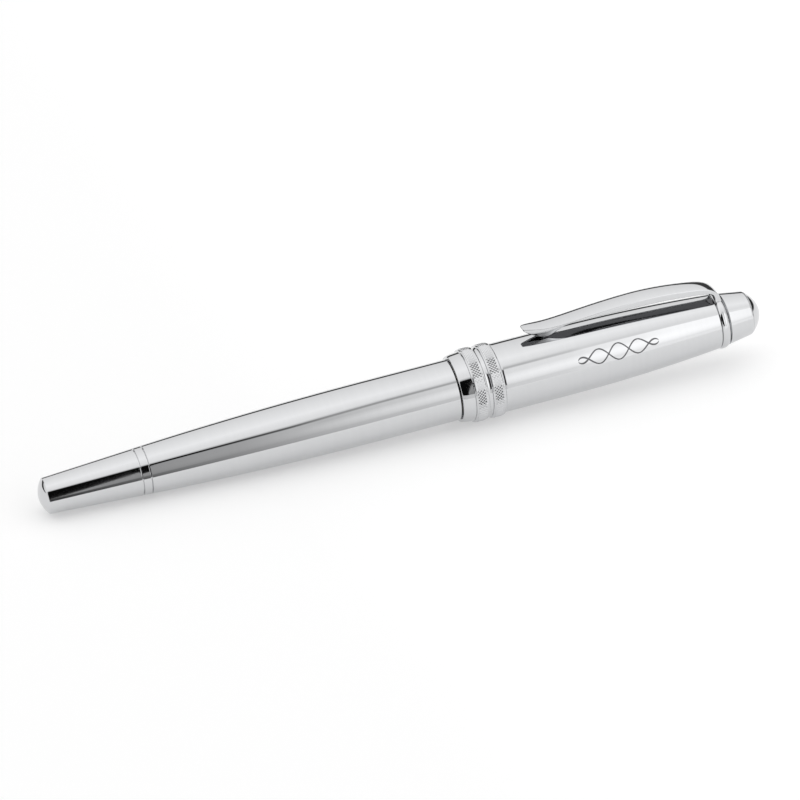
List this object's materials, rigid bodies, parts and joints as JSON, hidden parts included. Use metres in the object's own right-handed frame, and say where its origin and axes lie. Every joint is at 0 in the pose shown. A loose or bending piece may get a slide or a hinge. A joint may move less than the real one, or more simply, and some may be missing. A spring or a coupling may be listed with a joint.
{
  "type": "rollerball pen",
  "caption": "Capped metal rollerball pen with a tapered tail, two knurled cap bands, a channel spring clip and a screw-in grip section.",
  "frame": {"origin": "on the pen's axis at the mouth face of the barrel, where the cap's lip meets it", "axes": "+X along the pen towards the top of the cap, +Z towards the clip"},
  "size_m": [0.14, 0.0138, 0.0169],
  "materials": {
    "chrome": "mirror-polished chrome plate",
    "brass": "bright turned brass",
    "black_resin": "glossy black resin",
    "liner_plastic": "natural moulded plastic",
    "snap_steel": "plated steel ring",
    "spring_steel": "drawn spring wire and plated screw",
    "refill_metal": "satin steel and nickel silver",
    "refill_plastic": "black moulded plastic",
    "ink_fibre": "ink-soaked fibre",
    "carbide": "fine ground carbide"
  },
  "bodies": {
    "barrel": {"barrel_tube": "chrome", "barrel_thread_bush": "brass", "barrel_trim_ring": "chrome", "tail_plug": "chrome", "refill_spring": "spring_steel"},
    "refill": {"refill_tube": "refill_metal", "refill_end_plug": "refill_plastic", "ink_reservoir": "ink_fibre", "refill_feed": "refill_plastic", "feed_wick": "ink_fibre", "refill_tip": "refill_metal"},
    "ball": {"writing_ball": "carbide"},
    "section": {"section_thread_sleeve": "brass", "section_collar": "chrome", "grip_section": "black_resin", "section_snap_ring": "snap_steel", "section_nose": "chrome"},
    "cap": {"cap_tube": "chrome", "cap_lip_collar": "chrome", "knurled_ring_front": "chrome", "ring_spacer": "chrome", "knurled_ring_rear": "chrome", "cap_snap_collar": "liner_plastic", "inner_cap": "liner_plastic", "cap_end_bush": "brass", "cap_screw": "spring_steel", "clip_ring": "chrome", "finial_cone": "chrome", "finial_jewel": "chrome"},
    "clip": {"clip_arm": "chrome"}
  },
  "joints": [
    {"name": "refill_slide", "type": "slide", "parent": "barrel", "child": "refill", "axis": [1, 0, 0], "range_m": [0, 0.00601], "deforming": ["refill_spring"]},
    {"name": "section_turn", "type": "hinge", "parent": "refill", "child": "section", "pos_m": [0, 0, 0], "axis": [1, 0, 0], "range_deg": [0, 2880]},
    {"name": "cap_pull", "type": "slide", "parent": "section", "child": "cap", "axis": [1, 0, 0], "range_m": [0, 0.05]},
    {"name": "clip_flex", "type": "hinge", "parent": "cap", "child": "clip", "pos_m": [0.0524, 0, 0.00575], "axis": [0, 1, 0], "range_deg": [0, 5], "stiffness_Nm_per_rad": 1.5},
    {"name": "ball_roll", "type": "hinge", "parent": "refill", "child": "ball", "pos_m": [0.04415, 0, 0], "axis": [0, 1, 0], "continuous": true}
  ],
  "couplings": [
    {"joint": "refill_slide", "follows": "section_turn", "m_per_rad": 0.00011937}
  ]
}
